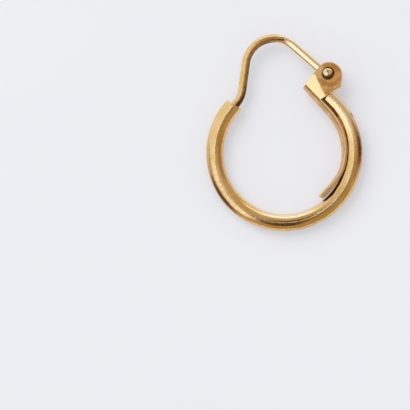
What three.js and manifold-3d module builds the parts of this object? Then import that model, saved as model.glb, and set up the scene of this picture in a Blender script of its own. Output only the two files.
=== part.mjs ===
// Hoop earring: a hollow round hoop with a folded hinge bracket soldered to one end,
// a peened hinge rivet, and a bent ear wire that swings on the rivet and closes into
// the hoop's open mouth. Millimetres, angles in degrees. Everything is drawn flat in
// the XY plane round the hoop's centre, with +Y from there to the top of the ear wire
// and the rivet along Z. The whole earring is then tipped to lie on a level surface.
import * as THREE from 'three';
import { mergeVertices } from 'three/addons/utils/BufferGeometryUtils.js';
import Module from 'manifold-3d';

// Hoop tube
const HOOP_OUTER_DIAMETER = 16.0;
const TUBE_DIAMETER = 1.75;
const TUBE_WALL = 0.2;
const MOUTH_ANGLE = 130.4;
const MOUTH_SLANT = 12;
const TUBE_END_ANGLE = 47;

// Hinge bracket, folded from one sheet into a channel. Places on it are given along the
// channel, from where it leaves the hoop's curve, and in height above its web.
const SHEET = 0.3;
const CHANNEL_WIDTH = 2.54;
const CHANNEL_HEADING = 125;
const WEB_UNDER_TUBE = 0.44;
const BEND_DEPTH_AT_FOOT = 1.1;
const BEND_DEPTH_AT_TOP = 1.9;
const LUG_RADIUS = 1.33;
const LUG_CENTRE = { along: 3.04, height: 2.86 };
const LUG_TOP_CORNER = { along: 3.87, height: 0.34 };
const LUG_FOOT_CORNER = { along: 1.38, height: 2.96 };
const LUG_NOTCH_CORNER = { along: 1.72, height: 0.81 };

// Tail of the bracket, hugging the inner side of the tube. How far it wraps round the tube
// is given above and below the hoop's plane.
const SOLDER_FILM = 0.1;
const SOLDER_SINK = 0.08;
const SOLDER_END_ANGLE = 17;
const TAIL_STATIONS = [
  { angle: -57.5, above: 5, below: 8, standOff: 0.3 },
  { angle: -57.1, above: 12, below: 18, standOff: 0.31 },
  { angle: -56, above: 17, below: 26, standOff: 0.33 },
  { angle: -54, above: 20, below: 32, standOff: 0.37 },
  { angle: -46, above: 24, below: 37, standOff: 0.42 },
  { angle: -36, above: 29, below: 42, standOff: 0.31 },
  { angle: -28, above: 33, below: 47, standOff: 0.17 },
  { angle: -20, above: 39, below: 51, standOff: 0.1 },
  { angle: -4, above: 47, below: 54, standOff: 0.09 },
  { angle: 16.5, above: 54, below: 55, standOff: 0.09 },
];
const SOLDERED_SPREAD_AT_TAIL = 55;
const SOLDERED_SPREAD_AT_BRACKET = 64;
const TAIL_INTO_BRACKET = 2.2;

// Hinge rivet and its hole
const PIVOT_PLACE = { along: 3.245, height: 2.883 };
const RIVET_SHAFT_DIAMETER = 1.0;
const RIVET_HEAD_DIAMETER = 1.15;
const RIVET_HEAD_PROUD = 0.25;
const PIVOT_CLEARANCE = 0.04;
const RECESS_DIAMETER = 1.36;
const RECESS_DEPTH = 0.12;

// Ear wire
const WIRE_DIAMETER = 0.85;
const KNUCKLE_DIAMETER = 1.7;
const LEG_INSIDE_PIVOT = 0.19;
const LEG_START = 0.57;
const CROWN_SIDEWAYS = -0.134;
const CROWN_RISE = 1.785;
const CROWN_RADIUS = 2.9;
const NECK_RADIUS = 2.79;
const MOUTH_HEADING = 220.4;
const WIRE_INWARD_OFFSET = 0.05;
const WIRE_ENTRY_ANGLE = 129.6;
const TIP_PROFILE = [
  { depth: 0.3, diameter: 0.85 },
  { depth: 0.38, diameter: 0.58 },
  { depth: 0.44, diameter: 0.36 },
  { depth: 0.48, diameter: 0.16 },
];

// Fineness of the facets
const TUBE_SIDES = 20;
const TUBE_STEPS = 66;
const WIRE_SIDES = 12;
const ROUND_SIDES = 28;
const BEND_STEPS = 12;
const DEGREES_A_STEP = 4;

const TUBE_RADIUS = TUBE_DIAMETER / 2;
const HOOP_RADIUS = HOOP_OUTER_DIAMETER / 2 - TUBE_RADIUS;
const WEB_DISTANCE = HOOP_RADIUS - TUBE_RADIUS - WEB_UNDER_TUBE;
const CHANNEL_HALF = CHANNEL_WIDTH / 2;
const RIVET_TOP = CHANNEL_HALF + RIVET_HEAD_PROUD;
const HOLE_RADIUS = RIVET_SHAFT_DIAMETER / 2 + PIVOT_CLEARANCE;
const WIRE_RADIUS = WIRE_DIAMETER / 2;
const UP = new THREE.Vector3(0, 0, 1);

const wasm = await Module();
wasm.setup();

const radians = THREE.MathUtils.degToRad;
const degrees = THREE.MathUtils.radToDeg;
const PIVOT = onBracket(PIVOT_PLACE);

function heading(angle) {
  return new THREE.Vector3(Math.cos(radians(angle)), Math.sin(radians(angle)), 0);
}

function headingOf(vector) {
  return degrees(Math.atan2(vector.y, vector.x));
}

function spread(from, to, steps) {
  return Array.from({ length: steps + 1 }, (_, i) => from + ((to - from) * i) / steps);
}

// A place given along the channel and in height above its web
function onBracket({ along, height }) {
  const point = heading(CHANNEL_HEADING).multiplyScalar(along);
  return point.addScaledVector(heading(CHANNEL_HEADING - 90), WEB_DISTANCE + height);
}

// A station of a sweep: where it is, which way the sweep is going, and its section,
// drawn with x to the left of the sweep and y up
function station(origin, direction, section) {
  return { origin, left: heading(direction + 90), section };
}

// Skins the sections of a row of stations. A ring of stations joins its last section to
// its first, and an open row gets a flat cap at each end.
function sweep(stations, ring = false) {
  const sides = stations[0].section.length;
  const positions = [];
  for (const { origin, left, section } of stations) {
    for (const [x, y] of section) {
      const point = origin.clone().addScaledVector(left, x).addScaledVector(UP, y);
      positions.push(point.x, point.y, point.z);
    }
  }
  const index = [];
  const rows = ring ? stations.length : stations.length - 1;
  for (let row = 0; row < rows; row += 1) {
    const near = row * sides;
    const far = ((row + 1) % stations.length) * sides;
    for (let i = 0; i < sides; i += 1) {
      const next = (i + 1) % sides;
      index.push(near + i, near + next, far + next);
      index.push(near + i, far + next, far + i);
    }
  }
  if (!ring) {
    const last = stations.length - 1;
    index.push(...cap(stations[0].section, 0, false));
    index.push(...cap(stations[last].section, last * sides, true));
  }
  const geometry = new THREE.BufferGeometry();
  geometry.setAttribute('position', new THREE.Float32BufferAttribute(positions, 3));
  geometry.setIndex(index);
  return geometry;
}

// Triangles that close one end section, facing along the sweep or back along it
function cap(section, offset, ahead) {
  const outline = section.map(([x, y]) => new THREE.Vector2(x, y));
  const faces = THREE.ShapeUtils.triangulateShape(outline, []);
  return faces.flatMap(([a, b, c]) => {
    const ccw = THREE.ShapeUtils.area([outline[a], outline[b], outline[c]]) > 0;
    const face = ccw === ahead ? [a, b, c] : [a, c, b];
    return face.map((corner) => corner + offset);
  });
}

function circle(radius, sides) {
  return spread(0, 360, sides)
    .slice(0, sides)
    .map((angle) => [radius * Math.cos(radians(angle)), radius * Math.sin(radians(angle))]);
}

function solid(geometry) {
  const bare = geometry.clone();
  bare.deleteAttribute('normal');
  bare.deleteAttribute('uv');
  const merged = mergeVertices(bare, 1e-5);
  const mesh = new wasm.Mesh({
    numProp: 3,
    vertProperties: new Float32Array(merged.attributes.position.array),
    triVerts: new Uint32Array(merged.index.array),
  });
  return new wasm.Manifold(mesh);
}

function geometryOf(body) {
  const mesh = body.getMesh();
  const geometry = new THREE.BufferGeometry();
  geometry.setAttribute('position', new THREE.BufferAttribute(mesh.vertProperties, 3));
  geometry.setIndex(new THREE.BufferAttribute(mesh.triVerts, 1));
  geometry.computeVertexNormals();
  return geometry;
}

// A turned shape standing on the rivet's axis, from a profile of radius and height
function turned(profile, sides) {
  const points = profile.map(([radius, height]) => new THREE.Vector2(radius, height));
  const geometry = new THREE.LatheGeometry(points, sides);
  geometry.rotateX(Math.PI / 2);
  geometry.translate(PIVOT.x, PIVOT.y, 0);
  return geometry;
}

// The hoop tube: its outer wall from the mouth, which is cut on a slant, round to the
// bracket, and its bore back
function hoopTube() {
  const angles = spread(MOUTH_ANGLE, TUBE_END_ANGLE + 360, TUBE_STEPS);
  const wall = (radius) => angles.map((angle) => {
    const centre = heading(angle).multiplyScalar(HOOP_RADIUS);
    const slant = angle === MOUTH_ANGLE ? MOUTH_SLANT : 0;
    return station(centre, angle + 90 + slant, circle(radius, TUBE_SIDES));
  });
  const outer = wall(TUBE_RADIUS);
  const bore = wall(TUBE_RADIUS - TUBE_WALL).reverse();
  return solid(sweep([...outer, ...bore], true));
}

// A gutter section round the tube's inner side, open away from the hoop's centre
function gutterSection(below, above, innerRadius, outerRadius) {
  const angles = spread(-below, above, BEND_STEPS);
  const arc = (radius) => angles.map((angle) => [
    radius * Math.cos(radians(angle)),
    radius * Math.sin(radians(angle)),
  ]);
  return [...arc(outerRadius), ...arc(innerRadius).reverse()];
}

function tailBetween(angle, from, to) {
  const share = (angle - from.angle) / (to.angle - from.angle);
  return {
    angle,
    above: THREE.MathUtils.lerp(from.above, to.above, share),
    below: THREE.MathUtils.lerp(from.below, to.below, share),
    standOff: THREE.MathUtils.lerp(from.standOff, to.standOff, share),
  };
}

// The tail from its free tip to the end of the solder, then soldered down on the tube
// as far as the bracket, where it runs straight on into the channel
function bracketTail() {
  const stations = [];
  const add = (angle, section) => {
    const centre = heading(angle).multiplyScalar(HOOP_RADIUS);
    stations.push(station(centre, angle + 90, section));
  };
  TAIL_STATIONS.forEach((from, i) => {
    const to = TAIL_STATIONS[i + 1] ?? from;
    const steps = Math.max(1, Math.ceil((to.angle - from.angle) / DEGREES_A_STEP));
    for (let step = 0; step < steps; step += 1) {
      const angle = from.angle + ((to.angle - from.angle) * step) / steps;
      const place = to === from ? from : tailBetween(angle, from, to);
      const inner = TUBE_RADIUS + place.standOff;
      add(place.angle, gutterSection(place.below, place.above, inner, inner + SHEET));
    }
  });
  const straightFrom = CHANNEL_HEADING - 90;
  const inner = TUBE_RADIUS - SOLDER_SINK;
  const outer = TUBE_RADIUS + SOLDER_FILM + SHEET;
  const steps = Math.ceil((straightFrom - SOLDER_END_ANGLE) / DEGREES_A_STEP);
  for (const angle of spread(SOLDER_END_ANGLE, straightFrom, steps)) {
    const share = (angle - SOLDER_END_ANGLE) / (straightFrom - SOLDER_END_ANGLE);
    const halfAngle = THREE.MathUtils.lerp(
      SOLDERED_SPREAD_AT_TAIL, SOLDERED_SPREAD_AT_BRACKET, share);
    add(angle, gutterSection(halfAngle, halfAngle, inner, outer));
  }
  const end = onBracket({ along: TAIL_INTO_BRACKET, height: HOOP_RADIUS - WEB_DISTANCE });
  const last = SOLDERED_SPREAD_AT_BRACKET;
  const section = gutterSection(last, last, inner, outer);
  stations.push(station(end, CHANNEL_HEADING, section));
  return solid(sweep(stations));
}

// The channel's section: two flat sides joined by a bend whose depth varies along it
function channelSection(bendDepth, reach) {
  const bend = (inset) => spread(-90, 90, BEND_STEPS).map((angle) => [
    (bendDepth - inset) * Math.cos(radians(angle)) - bendDepth,
    (CHANNEL_HALF - inset) * Math.sin(radians(angle)),
  ]);
  const side = (inset) => [
    [-reach, inset - CHANNEL_HALF],
    ...bend(inset),
    [-reach, CHANNEL_HALF - inset],
  ];
  return [...side(0), ...side(SHEET).reverse()];
}

// The point where a line from a corner touches a circle, on its left or right side
function touch(corner, centre, radius, side) {
  const toCentre = centre.clone().sub(corner);
  const distance = toCentre.length();
  const length = Math.sqrt(distance * distance - radius * radius);
  const turn = side * Math.asin(radius / distance);
  return corner.clone().addScaledVector(heading(headingOf(toCentre) + degrees(turn)), length);
}

// The outline of the lugs seen along the rivet, as a prism that trims the channel
function lugPrism() {
  const centre = onBracket(LUG_CENTRE);
  const top = onBracket(LUG_TOP_CORNER);
  const foot = onBracket(LUG_FOOT_CORNER);
  const notch = onBracket(LUG_NOTCH_CORNER);
  const topTouch = touch(top, centre, LUG_RADIUS, 1);
  const footTouch = touch(foot, centre, LUG_RADIUS, -1);
  const beyondTop = onBracket({ along: LUG_TOP_CORNER.along - 0.15, height: -0.5 });
  const beyondFoot = onBracket({ along: LUG_NOTCH_CORNER.along + 0.15, height: -0.5 });
  const from = radians(headingOf(topTouch.clone().sub(centre)));
  const to = radians(headingOf(footTouch.clone().sub(centre)));
  const outline = new THREE.Shape();
  outline.moveTo(beyondFoot.x, beyondFoot.y);
  outline.lineTo(beyondTop.x, beyondTop.y);
  outline.lineTo(top.x, top.y);
  outline.absarc(centre.x, centre.y, LUG_RADIUS, from, to, true);
  outline.lineTo(foot.x, foot.y);
  outline.lineTo(notch.x, notch.y);
  outline.closePath();
  const options = { depth: 2 * CHANNEL_WIDTH, bevelEnabled: false, curveSegments: ROUND_SIDES };
  const geometry = new THREE.ExtrudeGeometry(outline, options);
  geometry.translate(0, 0, -CHANNEL_WIDTH);
  return solid(geometry);
}

// The hole through both lugs, with a shallow recess for each rivet head
function rivetHole() {
  const floor = CHANNEL_HALF - RECESS_DEPTH;
  const recess = RECESS_DIAMETER / 2;
  return solid(turned([
    [0, -CHANNEL_WIDTH],
    [recess, -CHANNEL_WIDTH],
    [recess, -floor],
    [HOLE_RADIUS, -floor],
    [HOLE_RADIUS, floor],
    [recess, floor],
    [recess, CHANNEL_WIDTH],
    [0, CHANNEL_WIDTH],
  ], ROUND_SIDES));
}

function bracketChannel() {
  const ends = [
    { along: LUG_FOOT_CORNER.along - 0.3, bendDepth: BEND_DEPTH_AT_FOOT },
    { along: LUG_CENTRE.along + LUG_RADIUS + 0.3, bendDepth: BEND_DEPTH_AT_TOP },
  ];
  const reach = LUG_CENTRE.height + LUG_RADIUS + 0.5;
  const stations = ends.map(({ along, bendDepth }) => station(
    onBracket({ along, height: 0 }), CHANNEL_HEADING, channelSection(bendDepth, reach)));
  return solid(sweep(stations)).intersect(lugPrism());
}

// Hoop, tail and channel are soldered into one solid
function hoopWithHingeBracket() {
  const bracket = bracketChannel().add(bracketTail());
  return geometryOf(hoopTube().add(bracket).subtract(rivetHole()));
}

// The rivet: a plain shaft peened over into a low dome in each recess
function hingeRivet() {
  const shaft = RIVET_SHAFT_DIAMETER / 2;
  const head = RIVET_HEAD_DIAMETER / 2;
  const underside = CHANNEL_HALF - RECESS_DEPTH + PIVOT_CLEARANCE;
  const rim = underside + 0.06;
  const dome = spread(0, 80, 5).map((angle) => [
    head * Math.cos(radians(angle)),
    rim + (RIVET_TOP - rim) * (Math.sin(radians(angle)) / Math.sin(radians(80))),
  ]);
  const half = [[shaft, underside], [head, underside], ...dome, [0, RIVET_TOP]];
  const mirrored = half.map(([radius, height]) => [radius, -height]).reverse();
  return turned([...mirrored, ...half], ROUND_SIDES);
}

// The wire's centre line: straight from beside the pivot, round the crown, straight down
// the other leg, a reverse bend, and into the mouth of the tube
function wirePath() {
  const crown = new THREE.Vector3(CROWN_SIDEWAYS, HOOP_RADIUS + CROWN_RISE, 0);
  const mouth = heading(WIRE_ENTRY_ANGLE).multiplyScalar(HOOP_RADIUS - WIRE_INWARD_OFFSET);
  const neck = mouth.clone().addScaledVector(heading(MOUTH_HEADING - 90), NECK_RADIUS);
  const beside = touch(PIVOT, crown, CROWN_RADIUS + LEG_INSIDE_PIVOT, -1);
  const across = neck.clone().sub(crown);
  const bends = CROWN_RADIUS + NECK_RADIUS;
  const legHeading = headingOf(across) + degrees(Math.asin(bends / across.length()));
  const start = headingOf(beside.clone().sub(PIVOT));
  const steps = (turn) => Math.ceil(Math.abs(turn) / (2.5 * DEGREES_A_STEP));
  const wrap = (angle) => THREE.MathUtils.euclideanModulo(angle, 360);
  const path = [];
  const crownTurn = wrap(legHeading - start);
  for (const turn of spread(0, crownTurn, steps(crownTurn))) {
    const radius = heading(start + turn - 90).multiplyScalar(CROWN_RADIUS);
    path.push({ origin: crown.clone().add(radius), direction: start + turn });
  }
  const neckTurn = wrap(MOUTH_HEADING - legHeading + 180) - 180;
  for (const turn of spread(0, neckTurn, steps(neckTurn))) {
    const radius = heading(legHeading + turn + 90).multiplyScalar(NECK_RADIUS);
    path.push({ origin: neck.clone().add(radius), direction: legHeading + turn });
  }
  const leaving = PIVOT.clone().addScaledVector(heading(start), LEG_START);
  leaving.addScaledVector(heading(start + 90), LEG_INSIDE_PIVOT);
  return { path: [{ origin: leaving, direction: start }, ...path], mouth };
}

function earWire() {
  const { path, mouth } = wirePath();
  const stations = path.map(({ origin, direction }) => station(
    origin, direction, circle(WIRE_RADIUS, WIRE_SIDES)));
  for (const { depth, diameter } of TIP_PROFILE) {
    const centre = mouth.clone().addScaledVector(heading(MOUTH_HEADING), depth);
    stations.push(station(centre, MOUTH_HEADING, circle(diameter / 2, WIRE_SIDES)));
  }
  const half = CHANNEL_HALF - SHEET - PIVOT_CLEARANCE;
  const knuckle = solid(turned([
    [HOLE_RADIUS, -half],
    [KNUCKLE_DIAMETER / 2, -half],
    [KNUCKLE_DIAMETER / 2, half],
    [HOLE_RADIUS, half],
    [HOLE_RADIUS, -half],
  ], ROUND_SIDES));
  return geometryOf(solid(sweep(stations)).add(knuckle));
}

function mesh(name, geometry, color, roughness) {
  const material = new THREE.MeshStandardMaterial({ color, roughness, metalness: 1 });
  const made = new THREE.Mesh(geometry, material);
  made.name = name;
  return made;
}

// The earring lies on the rivet's back head and on the tube across the hoop from it
function layDown(pieces) {
  const pivotDistance = Math.hypot(PIVOT.x, PIVOT.y);
  const drop = RIVET_TOP - TUBE_RADIUS;
  const slope = drop / (pivotDistance + HOOP_RADIUS);
  const pivotHeading = headingOf(PIVOT);
  const tipped = new THREE.Group();
  tipped.add(...pieces);
  tipped.setRotationFromAxisAngle(heading(pivotHeading - 90), Math.atan(slope));
  tipped.updateMatrixWorld(true);
  const box = new THREE.Box3().setFromObject(tipped, true);
  const middle = box.getCenter(new THREE.Vector3());
  tipped.position.set(-middle.x, -middle.y, -box.min.z);
  const earring = new THREE.Group();
  earring.add(tipped);
  return earring;
}

export default layDown([
  mesh('hoop_with_hinge_bracket', hoopWithHingeBracket(), 0xd9a860, 0.28),
  mesh('hinge_rivet', hingeRivet(), 0xcdb287, 0.25),
  mesh('ear_wire', earWire(), 0xdcae68, 0.28),
]);
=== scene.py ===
import bmesh
import bpy
import numpy as np
from mathutils import Matrix, Vector


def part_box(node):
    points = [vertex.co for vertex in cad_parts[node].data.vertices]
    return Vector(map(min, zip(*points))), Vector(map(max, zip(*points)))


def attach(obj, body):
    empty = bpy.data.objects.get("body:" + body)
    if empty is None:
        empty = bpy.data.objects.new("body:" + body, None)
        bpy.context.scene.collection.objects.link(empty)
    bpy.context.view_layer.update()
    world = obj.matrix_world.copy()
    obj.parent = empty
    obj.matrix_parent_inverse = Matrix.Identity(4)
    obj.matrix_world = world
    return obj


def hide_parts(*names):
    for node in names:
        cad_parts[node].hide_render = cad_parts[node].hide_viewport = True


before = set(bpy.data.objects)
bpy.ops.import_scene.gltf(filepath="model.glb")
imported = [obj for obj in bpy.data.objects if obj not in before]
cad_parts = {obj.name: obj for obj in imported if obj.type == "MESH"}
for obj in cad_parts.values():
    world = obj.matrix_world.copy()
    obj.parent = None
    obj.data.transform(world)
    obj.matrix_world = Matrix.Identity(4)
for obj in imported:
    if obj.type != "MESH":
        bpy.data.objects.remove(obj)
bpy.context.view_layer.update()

# A plain gold hoop earring lying on a pale surface. Its shapes are worked out in
# millimetres on the flat drawing that the part's source uses: the hoop's centre is the
# origin, +Y runs to the top of the ear wire and Z lies along the hinge rivet. lay_down()
# then puts them where the solids lie, in metres. Angles are in degrees, and those round
# the hoop turn left from its right side.

# Hoop tube
HOOP_RADIUS = 7.125
TUBE_RADIUS = 0.875
TUBE_WALL = 0.2
MOUTH_ANGLE = 130.4
MOUTH_SLANT = 12.0
TUBE_END_ANGLE = 47.0
TUBE_CREST_SHIFT = 0.33

# Soft patches on the tube. Across is the distance outward from the tube's middle line. The
# first table darkens the tube: its first, second, third and fifth rows are brown tarnish, and
# its fourth, sixth, seventh and eighth rows are painted shade, on the lower left and along the
# tube's outer and inner edges. The second table paints two highlights, on the crest near the
# hinge and low on the inner side at the bottom.
# Columns: strength, angle round the hoop, across, reach in angle, reach across.
# Brown tarnish and painted shade on the tube
TUBE_TARNISH_AND_SHADE = (
    (0.92, 0, 0.6, 25, 0.34),
    (0.75, -150, 0.7, 22, 0.22),
    (0.9, 24, 0.8, 2, 0.1),
    (0.45, -155, 0.3, 26, 0.5),
    (0.5, -45, -0.35, 26, 0.5),
    (0.5, -80, 0.7, 50, 0.22),
    (0.5, 185, -0.7, 50, 0.22),
    (0.42, 170, 0.72, 25, 0.2),
)
# Painted highlights on the tube
TUBE_HIGHLIGHTS = (
    (1.0, 30, 0.2, 26, 0.5),
    (1.0, -92, -0.66, 34, 0.3),
)

# Hinge bracket. Its channel leaves the hoop at this angle. Its section is a bent web, a
# crease on each side and a flat lug on each side. Along it from foot to top, these change
# evenly: how far out the crease and the flat lug's edge lie, and how high the crease is.
# The shares are where, from web to lug's edge, the crease and the tail's edge come. The
# lug's places are along the channel, and out from the hoop's centre.
SHEET = 0.3
CHANNEL_HALF = 1.27
CHANNEL_ANGLE = 35.0
WEB_DISTANCE = 5.81
WEB_ARC = 35.0
SECTION_ALONG = (1.72, 4.0)
CREASE_OUT = (6.4, 6.3)
CREASE_HEIGHT = (1.04, 0.86)
FLAT_OUT = (6.98, 7.64)
CREASE_SHARE = 0.6
TAIL_SHARE = 0.6
LUG_RADIUS = 1.33
LUG_CENTRE = (3.04, 8.67)
LUG_TOP = (3.87, 6.15)
LUG_FOOT = (1.38, 8.77)
LUG_NOTCH = (1.72, 6.62)
FOOT_SLANT = 0.16
TOP_SLANT = 0.2
EDGE_ROUNDING = 0.1
BEND_ROWS = 24
BEND_COLUMNS = 61

# Tail of the bracket: at each angle, how far its sheet wraps round the tube above and
# below the hoop's plane, and how far it stands off the tube
TAIL_ANGLES = (-57.5, -57.3, -56.9, -56, -54, -46, -36, -28, -20, -4, 16.5, 35)
TAIL_ABOVE = (3, 8, 12.5, 17, 20, 24, 29, 33, 39, 47, 54, 57)
TAIL_BELOW = (5, 14, 24, 34, 41, 46, 48, 50, 52, 54, 55, 57)
TAIL_STAND_OFFS = (0.3, 0.305, 0.315, 0.33, 0.37, 0.42, 0.31, 0.17, 0.1, 0.09, 0.09, 0.1)

# Solder under the tail: from how far up the channel to which angle, and how much further
# round it closes the tube's end from below
SOLDER_START = 2.2
SOLDER_END_ANGLE = 15.0
SOLDER_THICK = 0.2
SOLDER_CLOSES = 75.0

# Hinge rivet
PIVOT = (5.2596, 7.6442)
SHAFT_RADIUS = 0.5
HEAD_RADIUS = 0.575
HEAD_TOP = 1.52
HEAD_GAP = 0.04
HEAD_SIDE = 0.05
RECESS_RADIUS = 0.68
RECESS_DEPTH = 0.12
HOLE_CLEARANCE = 0.04

# Ear wire
WIRE_RADIUS = 0.425
WIRE_CREST_SHIFT = 0.15
KNUCKLE_RADIUS = 0.85
LEG_INSIDE_PIVOT = 0.19
LEG_START = 0.57
CROWN_CENTRE = (-0.134, 8.91)
CROWN_RADIUS = 2.9
NECK_RADIUS = 2.79
MOUTH_HEADING = 220.4
WIRE_INWARD_OFFSET = 0.05
WIRE_ENTRY_ANGLE = 129.6
TIP_DEPTHS = (0.3, 0.34, 0.38, 0.42, 0.46, 0.48)
TIP_RADII = (0.425, 0.36, 0.285, 0.21, 0.12, 0.06)

# The photograph: its width in pixels, millimetres a pixel, the pixel of the hoop's centre,
# how far its upright is turned from the earring's, and the camera's height in metres
PHOTO_WIDTH = 410
PHOTO_SCALE = 0.1025
HOOP_PIXEL = (284.35, 153.25)
PHOTO_TURN = 6.0
CAMERA_HEIGHT = 0.32

# What the gold mirrors, worked out from the photograph. A later panel covers an earlier
# one, and the dark ones overhead are the camera and its arm. Azimuth turns left from the
# photograph's right side.
# Columns: azimuth of its middle, half width, lowest elevation, highest, brightness.
PANELS = (
    (95, 45, -20, 30, 1.12),
    (95, 40, 30, 52, 0.54),
    (190, 55, 22, 76, 0.88),
    (150, 28, -20, 45, 0.85),
    (222, 160, 77, 110, 1.1),
    (222, 24, 20, 110, 1.16),
    (230, 20, 50, 110, 1.16),
    (0, 20, 5, 48, 0.36),
    (222, 20, -20, 14, 0.2),
    (285, 45, -20, 40, 0.42),
    (302, 50, 42, 86, 0.4),
    (102, 18, 65, 110, 0.04),
    (264, 16, 44, 110, 0.01),
    (98, 34, 78, 110, 0.02),
    (270, 34, 76, 110, 0.01),
)
PANEL_SOFTNESS = 6
BETWEEN_PANELS = 0.52
BRIGHTEST = 1.2

# The colour of a panel by its brightness
PANEL_TINTS = (
    (0.05, (0.05, 0.023, 0.009)),
    (0.22, (0.22, 0.128, 0.064)),
    (0.42, (0.42, 0.309, 0.169)),
    (0.59, (0.59, 0.49, 0.36)),
    (0.79, (0.79, 0.73, 0.64)),
    (1.0, (1.0, 1.03, 1.04)),
    (1.2, (1.2, 1.26, 1.28)),
)

# The light on everything but mirrors
EVEN_LIGHT = (0.66, 0.66, 0.665, 1)


def heading(angle):
    """Unit vectors in the drawing's plane at angles in degrees."""
    angle = np.radians(angle)
    return np.stack([np.cos(angle), np.sin(angle), np.zeros_like(angle)], -1)


def on_bracket(along, out):
    """A place in the bracket's plane: along the channel, and out from the hoop's centre."""
    along, out = np.asarray(along)[..., None], np.asarray(out)[..., None]
    return along * heading(CHANNEL_ANGLE + 90) + out * heading(CHANNEL_ANGLE)


def lay_down(points):
    """The drawing tipped about the line across the pivot's radius, until the rivet's back
    head and the far side of the tube are both on the surface, then moved onto the rivet."""
    reach = np.hypot(*PIVOT)
    tilt = np.arctan((HEAD_TOP - TUBE_RADIUS) / (reach + HOOP_RADIUS))
    hinge_line = Vector((PIVOT[1] / reach, -PIVOT[0] / reach, 0))
    turn = np.array(Matrix.Rotation(tilt, 3, hinge_line))
    low, high = (np.array(corner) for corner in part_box("hinge_rivet"))
    moved = (np.asarray(points) - (*PIVOT, 0)) @ turn.T
    return moved / 1000 + (low + high) / 2


def ring_faces(rings, columns, looped):
    """Quads between neighbouring rings of points; looped joins the last ring to the first."""
    row, column = np.meshgrid(np.arange(rings if looped else rings - 1),
                              np.arange(columns), indexing="ij")
    next_row, next_column = (row + 1) % rings, (column + 1) % columns
    corners = (row * columns + column, row * columns + next_column,
               next_row * columns + next_column, next_row * columns + column)
    return np.stack(corners, -1).reshape(-1, 4)


def skin(rings, looped=False):
    """Points and faces of a closed skin over rings of points. Unless the rings loop round,
    each end closes on a pole in the middle of its ring."""
    count, columns = rings.shape[:2]
    points = rings.reshape(-1, 3)
    faces = ring_faces(count, columns, looped).tolist()
    if not looped:
        poles = rings[[0, -1]].mean(axis=1)
        points = np.concatenate([points, poles])
        around = np.arange(columns)
        after = (around + 1) % columns
        first, last = count * columns, count * columns + 1
        end = (count - 1) * columns
        faces += np.stack([np.full(columns, first), after, around], -1).tolist()
        faces += np.stack([np.full(columns, last), end + around, end + after], -1).tolist()
    return points, faces


def outward(points, faces):
    """The faces, all turned round if the volume they enclose comes out negative."""
    corners = np.array([face[:3] for face in faces])
    fans = np.array([[face[0], face[2], face[-1]] for face in faces])
    triangles = points[np.concatenate([corners, fans])]
    volume = np.einsum("ij,ij->i", triangles[:, 0],
                       np.cross(triangles[:, 1], triangles[:, 2])).sum()
    return faces if volume > 0 else [face[::-1] for face in faces]


def make_piece(name, points, faces, finish, body, node, slot, **attributes):
    """A smooth mesh object that rides on a body and stands for a node of the frame."""
    mesh = bpy.data.meshes.new(name)
    mesh.from_pydata(lay_down(points).tolist(), [], [list(face) for face in faces])
    for label, values in attributes.items():
        layer = mesh.attributes.new(label, "FLOAT", "POINT")
        layer.data.foreach_set("value", np.asarray(values, dtype=np.float32))
    mesh.materials.append(finish)
    mesh.shade_smooth()
    piece = bpy.data.objects.new(name, mesh)
    bpy.context.collection.objects.link(piece)
    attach(piece, body)
    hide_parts(node)
    return piece


def sweep(centres, directions, radii, sides):
    """Rings round a path in the drawing's plane: each point is the path's centre, plus a
    radius along the left of the path times a cosine and along Z times a sine."""
    around = np.linspace(0, 2 * np.pi, sides, endpoint=False)
    left = heading(np.asarray(directions) + 90)[:, None]
    up = np.array([0, 0, 1.0])
    circle = np.cos(around)[None, :, None] * left + np.sin(around)[None, :, None] * up
    return np.asarray(centres)[:, None] + np.asarray(radii)[:, None, None] * circle


def turned(profile, sides):
    """Rings of a turned shape on the rivet's axis, from pairs of radius and height."""
    radius, height = np.array(profile, dtype=float).T
    circle = heading(np.linspace(0, 360, sides, endpoint=False))
    rings = radius[:, None, None] * circle[None] + height[:, None, None] * np.array([0, 0, 1.0])
    return rings + (*PIVOT, 0)


def bump(value, middle, width):
    """A smooth hump of height 1 round a middle value, falling to nothing past its width."""
    return np.exp(-((value - middle) / width) ** 2)


def patches(table, angle, across):
    """The sum of a table of soft patches on the tube, at each angle and distance across."""
    total = np.zeros(len(angle))
    for strength, at_angle, at_across, angle_reach, across_reach in table:
        turn = (angle - at_angle + 180) % 360 - 180
        total += strength * bump(turn, 0, angle_reach) * bump(across, at_across, across_reach)
    return total


# Surfaces

def tube_skin():
    """The hollow tube as a ring of rings: its outer wall from the mouth round to the bracket,
    a rounded lip at each cut end, and its bore back again."""
    angles = np.linspace(MOUTH_ANGLE, TUBE_END_ANGLE + 360, 420)
    lip = np.linspace(0, np.pi, 7)[1:-1]
    half_wall = TUBE_WALL / 2
    lip_radii = TUBE_RADIUS - half_wall + half_wall * np.cos(lip)
    lip_turn = np.degrees(half_wall * 0.7 * np.sin(lip) / HOOP_RADIUS)
    all_angles = np.concatenate([angles, angles[-1] + lip_turn, angles[::-1],
                                 angles[0] - lip_turn[::-1]])
    radii = np.concatenate([np.full(len(angles), TUBE_RADIUS), lip_radii,
                            np.full(len(angles), TUBE_RADIUS - TUBE_WALL), lip_radii[::-1]])
    slant = MOUTH_SLANT * np.clip(1 - (all_angles - MOUTH_ANGLE) / 4, 0, 1)
    rings = sweep(HOOP_RADIUS * heading(all_angles), all_angles + 90 + slant, radii, 64)
    return skin(rings, looped=True)


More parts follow.
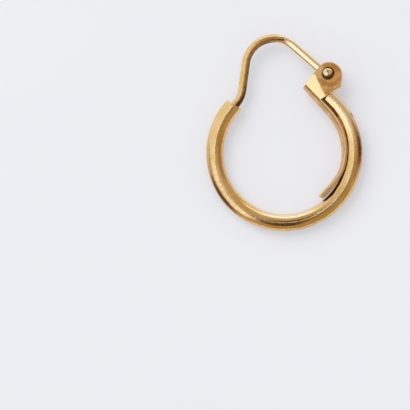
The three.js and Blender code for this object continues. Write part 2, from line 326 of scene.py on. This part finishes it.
def hoop_tube(finish):
    """The hollow tube with its crest pushed outward near the hinge: most on the crest and
    nothing at the sides, fading out round the hoop. Painted shade darkens its inner side inside
    the tail's slot, and the tables add tarnishing, painted shade and painted highlights."""
    points, faces = tube_skin()
    angle = angle_of(points.T)
    radius = np.hypot(points[:, 0], points[:, 1])
    across = radius - HOOP_RADIUS
    pushed = TUBE_CREST_SHIFT * np.clip((angle + 5) / 50, 0, 1) * (angle < 90)
    shift = pushed * np.clip(1 - (across / TUBE_RADIUS) ** 2, 0, 1)
    points[:, :2] *= (1 + shift / radius)[:, None]
    # Painted shade on the tube's inner side inside the tail's slot
    in_slot = np.clip((angle + 58) / 3, 0, 1) * np.clip((20 - angle) / 3, 0, 1)
    slot_edge = np.interp(angle, (-57, -46, -36, -10), (-0.72, -0.6, -0.72, -0.82))
    slot = 1.3 * in_slot * np.clip((slot_edge - across) / 0.06 + 0.5, 0, 1)
    return make_piece("hoop_tube", points, outward(points, faces), finish, "hoop",
                      "hoop_with_hinge_bracket", "hoop_gold",
                      tarnish=slot + patches(TUBE_TARNISH_AND_SHADE, angle, across),
                      worn=patches(TUBE_HIGHLIGHTS, angle, across))


def touch(corner, centre, radius, side):
    """Where a line from a corner touches a circle, on its left (1) or right (-1) side."""
    to_centre = centre - corner
    distance = np.hypot(*to_centre[:2])
    length = np.sqrt(distance ** 2 - radius ** 2)
    turn = np.degrees(np.arctan2(to_centre[1], to_centre[0]) + side * np.arcsin(radius / distance))
    return corner + length * heading(turn)


def angle_of(vector):
    """The angle of a vector in the drawing's plane, in degrees."""
    return np.degrees(np.arctan2(vector[1], vector[0]))


def wire_path():
    """The wire's centre line: straight from the pivot, round the crown, straight down, round
    the reverse bend and into the mouth. Returns its places and its headings in degrees."""
    pivot = np.array((*PIVOT, 0.0))
    crown = np.array((*CROWN_CENTRE, 0.0))
    mouth = (HOOP_RADIUS - WIRE_INWARD_OFFSET) * heading(WIRE_ENTRY_ANGLE)
    neck = mouth + NECK_RADIUS * heading(MOUTH_HEADING - 90)
    beside = touch(pivot, crown, CROWN_RADIUS + LEG_INSIDE_PIVOT, -1)
    start = angle_of(beside - pivot)
    across = neck - crown
    bends = (CROWN_RADIUS + NECK_RADIUS) / np.hypot(*across[:2])
    leg = angle_of(across) % 360 + np.degrees(np.arcsin(bends))
    crown_turn = np.linspace(start, leg, 110)
    neck_turn = np.linspace(leg, MOUTH_HEADING, 40)
    crown_arc = crown + CROWN_RADIUS * heading(crown_turn - 90)
    neck_arc = neck + NECK_RADIUS * heading(neck_turn + 90)
    first = pivot + LEG_START * heading(start) + LEG_INSIDE_PIVOT * heading(start + 90)
    straight = first + (crown_arc[0] - first) * np.linspace(0, 0.98, 40)[:, None]
    down = neck_arc[0] - crown_arc[-1]
    leg_line = crown_arc[-1] + down * np.linspace(0.02, 0.98, 26)[:, None]
    places = np.concatenate([straight, crown_arc, leg_line, neck_arc])
    headings = np.concatenate([np.full(len(straight), start), crown_turn,
                               np.full(len(leg_line), leg), neck_turn])
    return places, headings, mouth


def ear_wire(finish):
    """The round wire swept along its centre line, with a tapered tip inside the mouth. On
    the straight its crest is pushed outward: most on the crest and nothing at the sides. It
    is brown past the crown, and painted shade darkens its inner side there and near the
    mouth. Before the crown it is paler, a painted highlight."""
    places, headings, mouth = wire_path()
    tip = mouth + np.array(TIP_DEPTHS)[:, None] * heading(MOUTH_HEADING)
    places = np.concatenate([places, tip])
    headings = np.concatenate([headings, np.full(len(tip), MOUTH_HEADING)])
    radii = np.concatenate([np.full(len(places) - len(tip), WIRE_RADIUS), TIP_RADII])
    sides = 40
    rings = sweep(places, headings, radii, sides)
    inner = np.cos(np.linspace(0, 2 * np.pi, sides, endpoint=False))
    pressed = WIRE_CREST_SHIFT * np.clip((168 - headings) / 14, 0, 1)
    shift = pressed[:, None] * (1 - inner ** 2)
    rings -= shift[..., None] * heading(headings + 90)[:, None]
    points, faces = skin(rings)
    to_mouth = np.hypot(*(points - mouth)[:, :2].T)
    inner = np.append(np.tile(inner, len(places)), [0, 0])
    past_crown = np.append(np.repeat(np.clip((headings - 155) / 25, 0, 1), sides), [0, 1])
    # Brown past the crown, darker on the inner side as painted shade, and painted shade near the
    # mouth, most on the inner side
    tarnish = past_crown * (0.38 + 0.5 * np.clip(inner, -0.4, 1))
    tarnish += (0.35 + 0.35 * inner) * bump(to_mouth, 0, 1.3)
    # Before the crown it is painted paler as a highlight
    return make_piece("ear_wire_round_wire", points, outward(points, faces), finish, "ear_wire",
                      "ear_wire", "wire_gold", tarnish=tarnish, worn=0.65 * (1 - past_crown))


def wire_knuckle(finish):
    """The knuckle that the wire ends in: a short thick-walled tube with softened edges."""
    bore = SHAFT_RADIUS + HOLE_CLEARANCE
    half = CHANNEL_HALF - SHEET - HOLE_CLEARANCE
    soft = 0.06
    profile = [(bore, -half + soft), (bore + soft, -half), (KNUCKLE_RADIUS - soft, -half),
               (KNUCKLE_RADIUS, -half + soft), (KNUCKLE_RADIUS, half - soft),
               (KNUCKLE_RADIUS - soft, half), (bore + soft, half), (bore, half - soft)]
    points, faces = skin(turned(profile, 64), looped=True)
    return make_piece("ear_wire_knuckle", points, outward(points, faces), finish, "ear_wire",
                      "ear_wire", "wire_gold", tarnish=np.full(len(points), 0.5),
                      worn=np.zeros(len(points)))


def hinge_rivet(finish):
    """The rivet: half of its outline from the shaft out under the head and over the dome,
    mirrored for the back, turned round its axis. Painted shade darkens the dome away from the
    side at the top of the photograph, and a painted highlight lies at its upper left."""
    underside = CHANNEL_HALF - RECESS_DEPTH + HEAD_GAP
    rim = underside + HEAD_SIDE
    over = np.linspace(0, np.pi / 2, 14)[:-1]
    dome = np.stack([HEAD_RADIUS * np.cos(over) ** 0.9, rim + (HEAD_TOP - rim) * np.sin(over)], -1)
    half = [(SHAFT_RADIUS, 0.05), (SHAFT_RADIUS, underside), (HEAD_RADIUS - 0.02, underside),
            (HEAD_RADIUS, underside + 0.02), *dome.tolist()]
    mirrored = [(radius, -height) for radius, height in reversed(half)]
    points, faces = skin(turned(mirrored + half, 64))
    points[-2:, 2] = (-HEAD_TOP, HEAD_TOP)
    places = (points - (*PIVOT, 0))[:, :2] / HEAD_RADIUS
    # Painted shade on the dome away from the lit spot, and a painted highlight round the bright
    # spot at the upper left
    lit_spot, highlight_spot = 0.5 * heading(95)[:2], 0.5 * heading(135)[:2]
    from_lit = np.hypot(*(places - lit_spot).T)
    tarnish = 1.4 * np.clip((from_lit - 0.66) / 0.5, 0, 1) * (np.abs(points[:, 2]) > 1)
    worn = bump(np.hypot(*(places - highlight_spot).T), 0, 0.5)
    return make_piece("rivet_with_domed_heads", points, outward(points, faces), finish, "hoop",
                      "hinge_rivet", "rivet_gold", tarnish=tarnish, worn=worn)


def softened(values):
    """Values along a section averaged with their neighbours, which rounds its corners."""
    soft = values.copy()
    soft[..., 1:-1] = (values[..., :-2] + 2 * values[..., 1:-1] + values[..., 2:]) / 4
    return soft


def bracket_section(along, around):
    """How far out and how high the bracket's outer face is at a place along it. around runs
    from -1 at one lug's edge through 0 at the web to 1 at the other. From the web to the
    crease it is part of an ellipse, and from there to the lug a straight slope."""
    crease_out, crease_height, flat_out = (
        np.interp(along, SECTION_ALONG, ends) for ends in (CREASE_OUT, CREASE_HEIGHT, FLAT_OUT))
    share = np.abs(around)
    arc = np.radians(WEB_ARC)
    turn = arc * np.clip(share / CREASE_SHARE, 0, 1)
    slope = np.clip((share - CREASE_SHARE) / (1 - CREASE_SHARE), 0, 1)
    bulge = (crease_out - WEB_DISTANCE) * (1 - np.cos(turn)) / (1 - np.cos(arc))
    out = WEB_DISTANCE + bulge + (flat_out - crease_out) * slope
    height = crease_height * np.sin(turn) / np.sin(arc)
    height = height + (CHANNEL_HALF - crease_height) * slope
    return softened(out), np.sign(around) * softened(height)


def web_ends(out):
    """How far along the channel its foot and its top are, at a distance from the hoop's
    centre: both ends are cut on a slight slant."""
    foot = LUG_NOTCH[0] + (LUG_NOTCH[1] - out) * FOOT_SLANT
    top = LUG_TOP[0] + (out - LUG_TOP[1]) * TOP_SLANT
    return foot, top


def channel_bend(around):
    """The channel's bend: where its section meets its two slanted ends, found in a few
    rounds, then straight lines between them."""
    along = np.array(SECTION_ALONG)[:, None] + 0 * around
    for _ in range(4):
        foot, top = web_ends(bracket_section(along, around)[0])
        along = np.stack([foot[0], top[1]])
    along = along[0] + (along[1] - along[0]) * np.linspace(0, 1, BEND_ROWS + 1)[:, None]
    out, height = bracket_section(along, around)
    bend = on_bracket(along, out)
    bend[..., 2] = height
    return bend


def line(first, last, steps):
    """Places on a straight line, all but its first."""
    return first + (last - first) * np.linspace(0, 1, steps + 1)[1:, None]


def lug_rings(edge):
    """A lug's face: rings that open out from the rivet's hole to the lug's outline, which
    runs up the bend's edge, round the lug's centre and back along its foot."""
    centre = on_bracket(*LUG_CENTRE)
    foot_corner = on_bracket(*LUG_FOOT)
    top_touch = touch(edge[-1], centre, LUG_RADIUS, 1)
    foot_touch = touch(foot_corner, centre, LUG_RADIUS, -1)
    start, end = angle_of(top_touch - centre), angle_of(foot_touch - centre)
    arc = centre + LUG_RADIUS * heading(np.linspace(start, end, 48))
    outline = np.concatenate([edge, line(edge[-1], top_touch, 10)[:-1], arc,
                              line(foot_touch, foot_corner, 10),
                              line(foot_corner, edge[0], 18)[:-1]])
    pivot = np.array((*PIVOT, 0.0))
    from_pivot = outline - pivot
    rim = pivot + RECESS_RADIUS * from_pivot / np.hypot(*from_pivot[:, :2].T)[:, None]
    return rim + (outline - rim) * np.linspace(0, 1, 9)[:, None, None]


def under_bracket(runs, turns):
    """The tube's centre line under the bracket: down the channel by how far along it each
    place is, then round the hoop. Returns its places and the angle at each."""
    centres = np.concatenate([on_bracket(runs, np.full(len(runs), HOOP_RADIUS)),
                              HOOP_RADIUS * heading(turns)])
    return centres, np.concatenate([np.full(len(runs), CHANNEL_ANGLE), turns])


def arcs_round_tube(centres, angle, radius, section):
    """Rows of arcs round the tube: each point is its row's centre plus the radius times a
    cosine towards the hoop's centre and a sine upwards, of its section angle in degrees."""
    section = np.radians(section)[..., None]
    inward = -heading(angle)[:, None]
    toward = np.cos(section) * inward + np.sin(section) * np.array([0, 0, 1.0])
    return centres[:, None] + np.reshape(radius, (-1, 1, 1)) * toward


def tail_rows(first_row, around):
    """The tail's outer face: rows of arcs round the tube, from the bend's foot to the tip.
    They start on the bend's own points and settle onto the tube over a few rows. They lie a
    degree apart, and closer at the tip, which is round."""
    settling = 7
    runs = LUG_NOTCH[0] * np.linspace(1, 0, 9)[1:]
    turns = np.concatenate([np.arange(CHANNEL_ANGLE - 1, -56, -1), TAIL_ANGLES[3::-1]])
    centres, angle = under_bracket(runs, turns)
    above, below, stand_off = (np.interp(angle, TAIL_ANGLES, values)
                               for values in (TAIL_ABOVE, TAIL_BELOW, TAIL_STAND_OFFS))
    reach = np.where(around > 0, above[:, None], below[:, None])
    rows = arcs_round_tube(centres, angle, TUBE_RADIUS + stand_off + SHEET, reach * around)
    settled = np.clip((np.arange(len(rows)) + 1) / settling, 0, 1)[:, None, None]
    settled = settled * settled * (3 - 2 * settled)
    rows += (first_row - rows[0]) * (1 - settled)
    return np.concatenate([first_row[None], rows])


def join_grids(grids):
    """Points and faces of several grids, each with whether its columns close into a ring and
    whether its faces are turned round."""
    points, faces = [], []
    for grid, closed, turned_round in grids:
        rows, columns = grid.shape[:2]
        offset = sum(len(part) for part in points)
        quads = ring_faces(rows, columns, False)
        if not closed:
            quads = quads[np.arange(len(quads)) % columns < columns - 1]
        quads = quads[:, ::-1] if turned_round else quads
        points.append(grid.reshape(-1, 3))
        faces += (quads + offset).tolist()
    return np.concatenate(points), faces


def lug_marks(points, out):
    """Which points are on a lug's matt face, and how pale each is: a pale streak beside the
    rivet, and painted highlights on part of the recess's rim and on the lug's round edge."""
    height = np.abs(points[:, 2])
    matt = np.clip((height - CHANNEL_HALF + 0.03) / 0.03, 0, 1) * np.clip((out - 6.8) / 0.5, 0, 1)
    to_pivot = points[:, :2] - PIVOT
    beside, along = to_pivot @ heading(169)[:2], to_pivot @ heading(79)[:2]
    streak = bump(beside, 0.85, 0.45) * bump(along, 0.1, 0.7)
    # Painted highlights: a glint on part of the recess's rim, and along the lug's round edge
    rim = bump(np.hypot(*to_pivot.T), RECESS_RADIUS, 0.07) * (to_pivot @ heading(220)[:2] > 0.1)
    from_centre = np.hypot(*(points - on_bracket(*LUG_CENTRE))[:, :2].T)
    round_edge_highlight = bump(height, CHANNEL_HALF, 0.02) * bump(from_centre, LUG_RADIUS, 0.05)
    return matt, streak + 0.8 * rim + round_edge_highlight


def bracket_sheet(finish):
    """The outer face of the folded sheet, as one skin of joined grids, which Solidify gives
    its thickness: the bend of the channel, the tail, which all the bend's columns but those
    next to the lugs run on into, and a lug on each side. A painted highlight runs along the
    tail's edges, and the inside of the bend is a little brown."""
    around = np.linspace(-1, 1, BEND_COLUMNS)
    bend = channel_bend(around)
    in_tail = np.abs(around) <= TAIL_SHARE + 1e-9
    tail_around = around[in_tail] / TAIL_SHARE
    tail = tail_rows(bend[0, in_tail], tail_around)
    lug = lug_rings(bend[:, -1] * (1, 1, 0))
    front, back = lug + (0, 0, CHANNEL_HALF), lug - (0, 0, CHANNEL_HALF)
    points, faces = join_grids([(bend, False, False), (tail, False, True),
                                (front, True, False), (back, True, True)])
    out = points @ heading(CHANNEL_ANGLE)
    matt, pale = lug_marks(points, out)
    tail_start = bend[..., 0].size
    tail_end = tail_start + tail[..., 0].size
    edge = np.zeros(len(points))
    # Painted highlight along the tail's edges
    edge[tail_start:tail_end] = np.tile(bump(np.abs(tail_around), 1, 0.12), len(tail))
    tarnish = 0.5 * np.clip((6.35 - out) / 0.2, 0, 1) * (1 - edge)
    piece = make_piece("hinge_bracket_sheet", points, faces, finish, "hoop",
                       "hoop_with_hinge_bracket", "hoop_gold", lug=matt, pale=pale,
                       tarnish=tarnish, worn=edge)
    merge_seams(piece)
    solidify = piece.modifiers.new("sheet thickness", "SOLIDIFY")
    solidify.thickness = SHEET / 1000
    solidify.offset = -1
    solidify.use_even_offset = True
    round_edges(piece, EDGE_ROUNDING)
    return piece


def merge_seams(piece):
    """Joins the points that neighbouring grids share."""
    work = bmesh.new()
    work.from_mesh(piece.data)
    bmesh.ops.remove_doubles(work, verts=work.verts, dist=2e-7)
    work.to_mesh(piece.data)
    work.free()


def round_edges(piece, radius):
    """Rounds the sheet's cut edges."""
    bevel = piece.modifiers.new("rounded edges", "BEVEL")
    bevel.width = radius / 1000
    bevel.segments = 3
    bevel.limit_method = "ANGLE"
    bevel.angle_limit = np.radians(50)
    bevel.harden_normals = True


def recess_floors(finish):
    """A washer at the bottom of each recess, that the rivet's head sits on. Painted shade
    darkens it on the side away from the hoop's middle."""
    hole = SHAFT_RADIUS + HOLE_CLEARANCE
    outer = RECESS_RADIUS + 0.03
    low, high = CHANNEL_HALF - SHEET + 0.01, CHANNEL_HALF - RECESS_DEPTH
    for name, side in (("front", 1), ("back", -1)):
        profile = [(hole, side * low), (outer, side * low), (outer, side * high),
                   (hole, side * high)]
        points, faces = skin(turned(profile, 64), looped=True)
        # Painted shade in the recess, on the side away from the hoop's middle
        toward = (points - (*PIVOT, 0)) @ heading(40) / RECESS_RADIUS * 1.5
        make_piece(f"lug_recess_{name}", points, outward(points, faces), finish, "hoop",
                   "hoop_with_hinge_bracket", "hoop_gold", lug=np.ones(len(points)),
                   pale=np.zeros(len(points)), tarnish=1.5 * np.clip(toward - 0.3, 0, 1))


def solder_seam(finish):
    """The solder between tail and tube: a thin arc, a little wider than the tail, carried
    from inside the channel to where the tail leaves the tube. Past the tube's end it reaches
    further round below. It is a dark joint, and painted shade makes it darkest in the channel."""
    runs = np.linspace(SOLDER_START, 0, 23)
    centres, angle = under_bracket(runs, np.arange(CHANNEL_ANGLE - 1, SOLDER_END_ANGLE, -1))
    above = np.interp(angle, TAIL_ANGLES, TAIL_ABOVE) + 2
    below = above.copy()
    below[:len(runs)] += np.interp(runs, (1.4, 1.6), (0, SOLDER_CLOSES))
    around = np.linspace(-1, 1, 33)
    section = np.where(around > 0, above[:, None], below[:, None]) * around
    outer = arcs_round_tube(centres, angle, TUBE_RADIUS + SOLDER_THICK, section)
    inner = arcs_round_tube(centres, angle, TUBE_RADIUS - 0.06, section)
    rings = np.concatenate([outer, inner[:, ::-1]], axis=1)
    points, faces = skin(rings)
    # A dark joint, with painted shade making it darkest inside the channel
    dark = np.interp(angle, (27, 34), (0.72, 1))
    dark = np.append(np.repeat(dark, rings.shape[1]), dark[[0, -1]])
    return make_piece("solder_seam", points, outward(points, faces), finish, "hoop",
                      "hoop_with_hinge_bracket", "hoop_gold", lug=np.zeros(len(points)),
                      pale=np.zeros(len(points)), tarnish=dark)


# Finishes

class Value:
    """A number or colour that varies. Arithmetic on it adds Math nodes."""

    def __init__(self, nodes, socket):
        self.nodes = nodes
        self.socket = socket

    def math(self, operation, first, second):
        return self.nodes.node("ShaderNodeMath", {"operation": operation}, {0: first, 1: second})

    def __add__(self, other):
        return self.math("ADD", self, other)

    def __radd__(self, other):
        return self.math("ADD", other, self)

    def __sub__(self, other):
        return self.math("SUBTRACT", self, other)

    def __rsub__(self, other):
        return self.math("SUBTRACT", other, self)

    def __mul__(self, other):
        return self.math("MULTIPLY", self, other)

    def __rmul__(self, other):
        return self.math("MULTIPLY", other, self)


class Nodes:
    """A tree of shader nodes, and a way to add any node to it."""

    def __init__(self, tree):
        self.tree = tree

    def node(self, kind, settings=None, inputs=None, output=0):
        made = self.tree.nodes.new(kind)
        for setting, value in (settings or {}).items():
            if setting == "stops":
                self.set_stops(made.color_ramp, value)
            else:
                setattr(made, setting, value)
        for socket, value in (inputs or {}).items():
            self.feed(made.inputs[socket], value)
        return Value(self, made.outputs[output])

    def set_stops(self, ramp, stops):
        while len(ramp.elements) < len(stops):
            ramp.elements.new(1)
        for element, (position, colour) in zip(ramp.elements, stops):
            element.position = position
            element.color = colour

    def feed(self, socket, value):
        if isinstance(value, Value):
            self.tree.links.new(value.socket, socket)
        else:
            socket.default_value = value

    def step(self, value, low, high):
        """0 below low, 1 above high, and a soft rise between."""
        return self.node("ShaderNodeMapRange", {"interpolation_type": "SMOOTHSTEP"},
                         {"Value": value, "From Min": low, "From Max": high})

    def mix(self, share, first, second):
        return self.node("ShaderNodeMix", {"data_type": "RGBA"},
                         {0: share, 6: first, 7: second}, output=2)


class Finish(Nodes):
    """A material and its Principled shader."""

    def __init__(self, name, **constants):
        self.material = bpy.data.materials.new(name)
        self.material.use_nodes = True
        super().__init__(self.material.node_tree)
        self.shader = self.tree.nodes["Principled BSDF"]
        for socket, value in constants.items():
            self.shader.inputs[socket.replace("_", " ")].default_value = value

    def place(self):
        """Where a point is on the piece, in millimetres."""
        where = self.node("ShaderNodeTexCoord", output="Object")
        return self.node("ShaderNodeVectorMath", {"operation": "SCALE"},
                         {0: where, "Scale": 1000}, output="Vector")

    def noise(self, size, detail=3, roughness=0.5):
        """Cloudy noise whose lumps are about this size in millimetres."""
        return self.node("ShaderNodeTexNoise", None,
                         {"Vector": self.place(), "Scale": 1 / size, "Detail": detail,
                          "Roughness": roughness})

    def attribute(self, name):
        return self.node("ShaderNodeAttribute", {"attribute_name": name}, output="Fac")

    def bump(self, height, distance):
        """Bump whose full height is this distance in millimetres."""
        return self.node("ShaderNodeBump", None,
                         {"Height": height, "Distance": distance / 1000, "Strength": 1.0},
                         output="Normal")

    def finish(self, **varying):
        for socket, value in varying.items():
            self.feed(self.shader.inputs[socket.replace("_", " ")], value)
        return self.material


def colour(red, green, blue):
    """A colour given as it looks on a screen, from 0 to 255, as the light values of a node."""
    share = np.array([red, green, blue]) / 255
    light = np.where(share <= 0.04045, share / 12.92, ((share + 0.055) / 1.055) ** 2.4)
    return (*light.tolist(), 1.0)


GOLD = (0.95, 0.69, 0.39, 1)
EDGE_TINT = (1.0, 0.84, 0.66, 1)
DEEP_GOLD = (0.87, 0.6, 0.24, 1)
# Paler gold for painted highlights
PAINTED_HIGHLIGHT_GOLD = (1.0, 0.82, 0.58, 1)
# Browns for tarnish and for painted shade
TARNISH_AND_SHADE_BROWN = (0.5, 0.26, 0.13, 1)
DARK_TARNISH_AND_SHADE = (0.16, 0.075, 0.03, 1)
RIVET_GOLD = (0.9, 0.76, 0.52, 1)
LUG_GOLD = (0.92, 0.54, 0.22, 1)
LUG_BROWN = (0.66, 0.33, 0.1, 1)
# Pale marks and painted highlights on the lugs
LUG_PALE_AND_HIGHLIGHT = (1.0, 0.74, 0.4, 1)


def tarnished_and_shaded(gold, tint, fine):
    """The tint turned brown and then nearly black by as much tarnishing and painted shade as
    the piece carries there, broken up by fine noise. Returns the colour and the amount."""
    stain_and_shade = gold.step(gold.attribute("tarnish") + (fine - 0.5) * 0.5, 0.1, 1.0)
    brown = gold.mix(stain_and_shade, tint, TARNISH_AND_SHADE_BROWN)
    return gold.mix(gold.step(stain_and_shade, 0.7, 1.0), brown, DARK_TARNISH_AND_SHADE), stain_and_shade


def polished_gold(name, base=GOLD, deep=DEEP_GOLD, roughness=0.12):
    """Old polished gold: a mottled tint, paler where the piece carries a painted highlight,
    brown where it carries tarnishing or painted shade, and a slightly uneven skin with a fine
    grain."""
    gold = Finish(name, Metallic=1.0, Specular_Tint=EDGE_TINT)
    slow = gold.noise(2.2, 3)
    fine = gold.noise(0.35, 5, 0.6)
    mottle = gold.step(slow * 0.5 + fine * 0.5, 0.38, 0.62)
    tint = gold.mix(mottle, base, deep)
    tint = gold.mix(gold.step(gold.attribute("worn"), 0.1, 0.9), tint, PAINTED_HIGHLIGHT_GOLD)
    stained_and_shaded, stain_and_shade = tarnished_and_shaded(gold, tint, fine)
    rough = roughness + slow * 0.06 + stain_and_shade * 0.25
    uneven = gold.noise(1.1, 2) * 0.8 + gold.noise(0.12, 3) * 0.12
    return gold.finish(Base_Color=stained_and_shaded, Roughness=rough, Normal=gold.bump(uneven, 0.02))


def bracket_gold():
    """Bracket gold: polished round the bend and tail, with a painted highlight along the tail's
    edges, which are also rougher, and matt orange brown on the lug faces, with pale marks and
    painted highlights on them."""
    gold = Finish("bracket_gold", Metallic=1.0, Specular_Tint=EDGE_TINT)
    slow = gold.noise(0.8, 4)
    grain = gold.noise(0.09, 4, 0.65)
    lug = gold.attribute("lug")
    plain = gold.mix(gold.step(slow, 0.35, 0.65) * 0.5, GOLD, DEEP_GOLD)
    # Painted highlight along the tail's edges, which also makes them rougher
    edge_highlight = gold.attribute("worn")
    plain = gold.mix(edge_highlight, plain, PAINTED_HIGHLIGHT_GOLD)
    matt = gold.mix(gold.step(slow + grain * 0.3, 0.5, 0.8), LUG_GOLD, LUG_BROWN)
    # Pale marks and painted highlights on the lug faces
    matt = gold.mix(gold.step(gold.attribute("pale") + (slow - 0.5), 0.1, 1.0), matt, LUG_PALE_AND_HIGHLIGHT)
    tint = gold.mix(lug, plain, matt)
    stained_and_shaded, stain_and_shade = tarnished_and_shaded(gold, tint, slow)
    rough = 0.13 + slow * 0.06 + lug * 0.28 + stain_and_shade * 0.2 + edge_highlight * 0.3
    uneven = grain * lug * 0.5 + slow * 0.3
    return gold.finish(Base_Color=stained_and_shaded, Roughness=rough, Normal=gold.bump(uneven, 0.02))


def floor_finish():
    """The pale, faintly cool surface that the earring lies on. It glows a little, like a light
    table, which lightens the shadows on it.
    """
    paint = Finish("pale_surface", Roughness=0.7, Emission_Strength=0.43)
    cloud = paint.noise(30, 2)
    tone = paint.mix(cloud, colour(184, 185, 188), colour(190, 191, 193))
    return paint.finish(Base_Color=tone, Emission_Color=colour(232, 233, 240))


# Surroundings

def photo_direction(azimuth, elevation):
    """A direction given as the photograph shows it: azimuth turns left from its right side,
    elevation rises out of the picture."""
    azimuth = azimuth - PHOTO_TURN
    flat = np.cos(np.radians(elevation)) * heading(azimuth)
    return flat + np.array([0, 0, np.sin(np.radians(elevation))])


def photo_middle():
    """The place under the middle of the photograph, on the level of the hoop."""
    pixels = np.array(HOOP_PIXEL) - PHOTO_WIDTH / 2
    right, up = heading(-PHOTO_TURN), heading(90 - PHOTO_TURN)
    hoop = lay_down(np.zeros((1, 3)))[0]
    return hoop - (pixels[0] * right - pixels[1] * up) * PHOTO_SCALE / 1000


def add_camera():
    """A camera straight above the middle of the photograph, turned to match its upright."""
    middle = photo_middle()
    camera = bpy.data.cameras.new("camera")
    camera.sensor_width = 36
    camera.lens = 36 * CAMERA_HEIGHT / (PHOTO_WIDTH * PHOTO_SCALE / 1000)
    camera.clip_start = 0.01
    camera.clip_end = 5
    holder = bpy.data.objects.new("camera", camera)
    holder.location = (middle[0], middle[1], middle[2] + CAMERA_HEIGHT)
    holder.rotation_euler = (0, 0, np.radians(-PHOTO_TURN))
    bpy.context.collection.objects.link(holder)
    bpy.context.scene.camera = holder


def add_light(name, azimuth, elevation, distance, size, power):
    """A soft square light that looks at the earring from a direction in the photograph."""
    light = bpy.data.lights.new(name, "AREA")
    light.size = size
    light.energy = power
    holder = bpy.data.objects.new(name, light)
    direction = photo_direction(azimuth, elevation)
    holder.location = direction * distance
    holder.rotation_euler = Vector(direction).to_track_quat("Z", "Y").to_euler()
    bpy.context.collection.objects.link(holder)
    return holder


def add_floor(finish):
    """The surface that it lies on, a square big enough to fill any view."""
    half = 0.6
    mesh = bpy.data.meshes.new("floor")
    corners = [(-half, -half, 0), (half, -half, 0), (half, half, 0), (-half, half, 0)]
    mesh.from_pydata(corners, [], [(0, 1, 2, 3)])
    mesh.materials.append(finish)
    floor = bpy.data.objects.new("floor", mesh)
    bpy.context.collection.objects.link(floor)


def panel_level(sky):
    """How bright the panels are in the direction that a mirrored ray leaves in."""
    direction = sky.node("ShaderNodeTexCoord", output="Generated")
    x, y, z = (sky.node("ShaderNodeSeparateXYZ", None, {0: direction}, output=axis)
               for axis in ("X", "Y", "Z"))
    azimuth = sky.node("ShaderNodeMath", {"operation": "ARCTAN2"}, {0: y, 1: x})
    elevation = sky.node("ShaderNodeMath", {"operation": "ARCSINE"}, {0: z}) * (180 / np.pi)
    level = BETWEEN_PANELS
    for middle, half, low, high, brightness in PANELS:
        toward = sky.node("ShaderNodeMath", {"operation": "COSINE"},
                          {0: azimuth - np.radians(middle - PHOTO_TURN)})
        outer = np.cos(np.radians(half + PANEL_SOFTNESS))
        inner = np.cos(np.radians(half - PANEL_SOFTNESS))
        panel = sky.step(toward, outer, inner)
        panel = panel * sky.step(elevation, low - PANEL_SOFTNESS, low + PANEL_SOFTNESS)
        panel = panel * (1 - sky.step(elevation, high - PANEL_SOFTNESS, high + PANEL_SOFTNESS))
        level = level + (brightness - level) * panel
    return level


def add_surroundings():
    """Even neutral light on the surface, while the gold mirrors a ring of soft panels: warm
    where they are dim and white where they are bright."""
    world = bpy.data.worlds.new("soft light")
    world.use_nodes = True
    world.cycles.sampling_method = "NONE"
    sky = Nodes(world.node_tree)
    background = sky.tree.nodes["Background"]
    stops = [(brightness / BRIGHTEST, tuple(np.array(tint) / BRIGHTEST) + (1,))
             for brightness, tint in PANEL_TINTS]
    mirrored = sky.node("ShaderNodeValToRGB", {"stops": stops},
                        {0: panel_level(sky) * (1 / BRIGHTEST)})
    glossy = sky.node("ShaderNodeLightPath", output="Is Glossy Ray")
    sky.feed(background.inputs["Color"], sky.mix(glossy, EVEN_LIGHT, mirrored))
    sky.feed(background.inputs["Strength"], 1 + (BRIGHTEST - 1) * glossy)
    bpy.context.scene.world = world
    window = add_light("window", azimuth=130, elevation=50, distance=1.2, size=0.8, power=7.0)
    window.visible_glossy = False
    bpy.context.scene.view_settings.view_transform = "Standard"


hoop_tube(polished_gold("hoop_gold"))
bracket = bracket_gold()
bracket_sheet(bracket)
recess_floors(bracket)
solder_seam(bracket)
wire_gold = polished_gold("wire_gold")
ear_wire(wire_gold)
wire_knuckle(wire_gold)
hinge_rivet(polished_gold("rivet_gold", RIVET_GOLD, RIVET_GOLD, 0.12))
add_floor(floor_finish())
add_surroundings()
add_camera()
